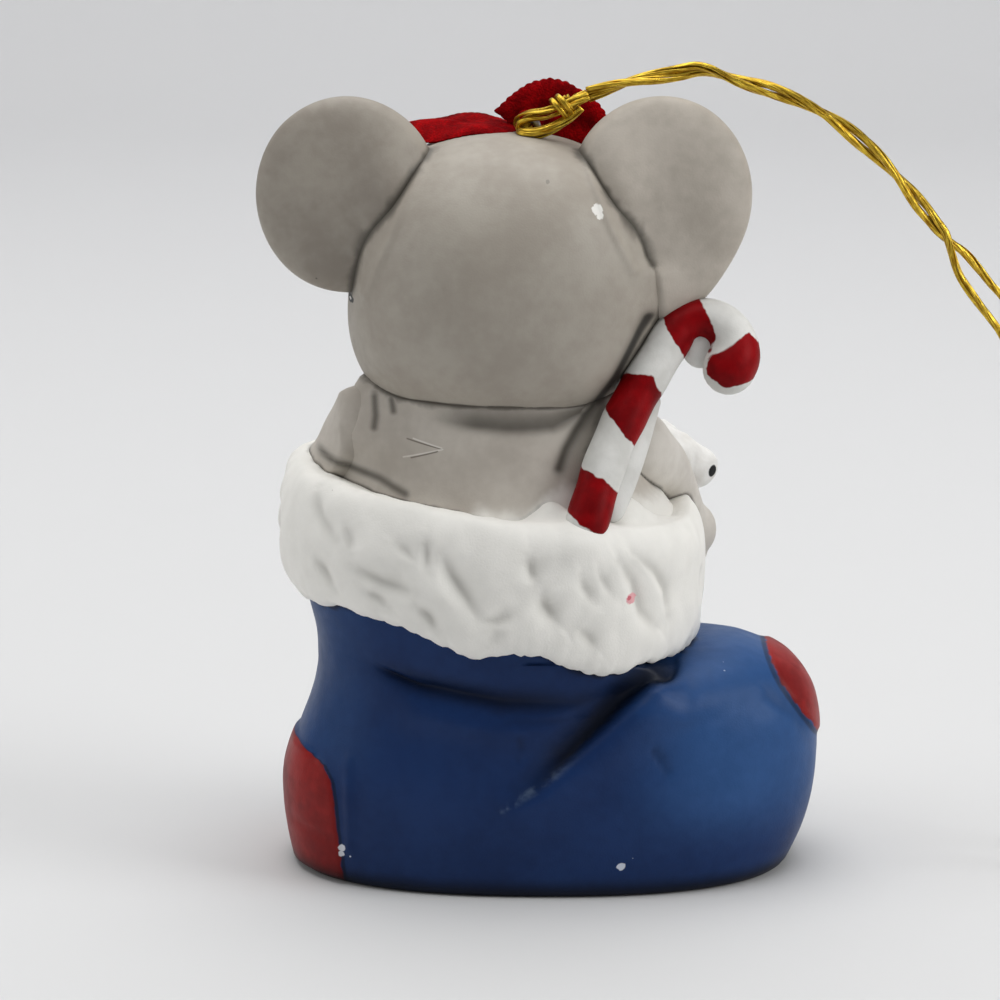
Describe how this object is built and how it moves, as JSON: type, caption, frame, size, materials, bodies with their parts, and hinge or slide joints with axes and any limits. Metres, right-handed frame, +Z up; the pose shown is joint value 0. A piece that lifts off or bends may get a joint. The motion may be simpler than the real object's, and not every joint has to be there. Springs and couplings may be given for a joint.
{
  "type": "mouse bell ornament",
  "caption": "Porcelain bell ornament: a round-eared mouse sits in a fur-trimmed boot with a candy cane; a bead clapper swings in the boot and a gold cord loop hangs it up.",
  "frame": {"origin": "on the table, under the middle of the ornament's box measured without its cord", "axes": "+Z up, +X towards the boot's toe, +Y the way the mouse looks"},
  "size_m": [0.0832, 0.0358, 0.0786],
  "materials": {
    "blue_boot": "satin painted bisque, red at heel and toe",
    "white_bisque": "matt painted bisque",
    "grey_bisque": "matt painted bisque, dark wash in the creases",
    "striped_bisque": "white bisque with painted red stripes",
    "red_velvet": "velvet pile",
    "wire": "plain drawn wire",
    "bead_wood": "turned and waxed",
    "gold_thread": "metallic thread"
  },
  "bodies": {
    "ornament": {"boot_bell": "blue_boot", "fur_cuff": "white_bisque", "mouse_torso": "grey_bisque", "mouse_head": "grey_bisque", "left_ear": "grey_bisque", "right_ear": "grey_bisque", "left_arm": "grey_bisque", "right_arm": "grey_bisque", "candy_cane": "striped_bisque", "toy_bear": "white_bisque", "ribbon_bow": "red_velvet", "hanger_wire": "wire", "stop_washer": "wire", "crimp_sleeve": "wire", "cord_hitch": "gold_thread", "hanging_cord": "gold_thread"},
    "ring": {"swing_ring": "wire"},
    "clapper": {"clapper_wire": "wire", "clapper_bead": "bead_wood"}
  },
  "joints": [
    {"name": "front_swing", "type": "hinge", "parent": "ornament", "child": "ring", "pos_m": [-0.00142, -0.00124, 0.03202], "axis": [1, 0, 0], "range_deg": [-14, 20]},
    {"name": "side_swing", "type": "hinge", "parent": "ring", "child": "clapper", "pos_m": [-0.00142, -0.00124, 0.02902], "axis": [0, 1, 0], "range_deg": [-36, 26]}
  ]
}
